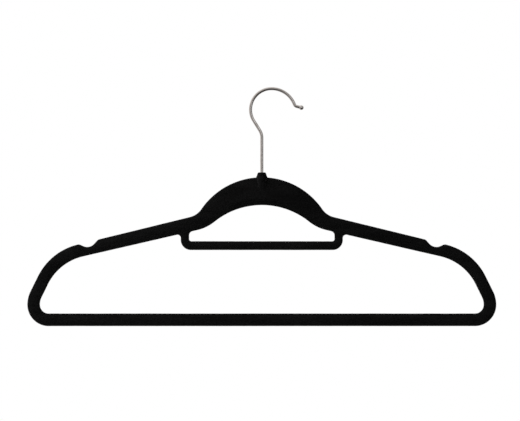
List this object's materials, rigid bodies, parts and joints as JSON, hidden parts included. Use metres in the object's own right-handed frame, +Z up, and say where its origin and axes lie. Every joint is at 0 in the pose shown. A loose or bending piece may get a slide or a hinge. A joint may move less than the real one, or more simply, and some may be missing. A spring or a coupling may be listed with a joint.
{
  "type": "clothes hanger",
  "caption": "Slim velvet-flocked clothes hanger with a free-turning plated wire hook, strap notches, a tie bar and a trouser bar.",
  "frame": {"origin": "inside top of the hook, where the top of the rail touches the wire", "axes": "+Z up when hung, +X along the frame's width towards the side the hook opens to, +Y through the thickness, away from a viewer who sees the hook open to the right"},
  "size_m": [0.45, 0.0104, 0.2294],
  "materials": {
    "black_abs": "plain moulded ABS, black through",
    "black_flock": "short upright nylon pile, velvet matt",
    "plated_steel": "bright nickel-chrome plate on drawn wire",
    "plated_bead": "bright nickel-chrome plate"
  },
  "bodies": {
    "hook": {"swivel_hook": "plated_steel", "hook_tip_bead": "plated_bead"},
    "frame": {"frame_core": "black_abs", "flock_coat": "black_flock"}
  },
  "joints": [
    {"name": "hook_swivel", "type": "hinge", "parent": "hook", "child": "frame", "pos_m": [-0.0093, 0, -0.07886], "axis": [0, 0, 1], "continuous": true}
  ]
}
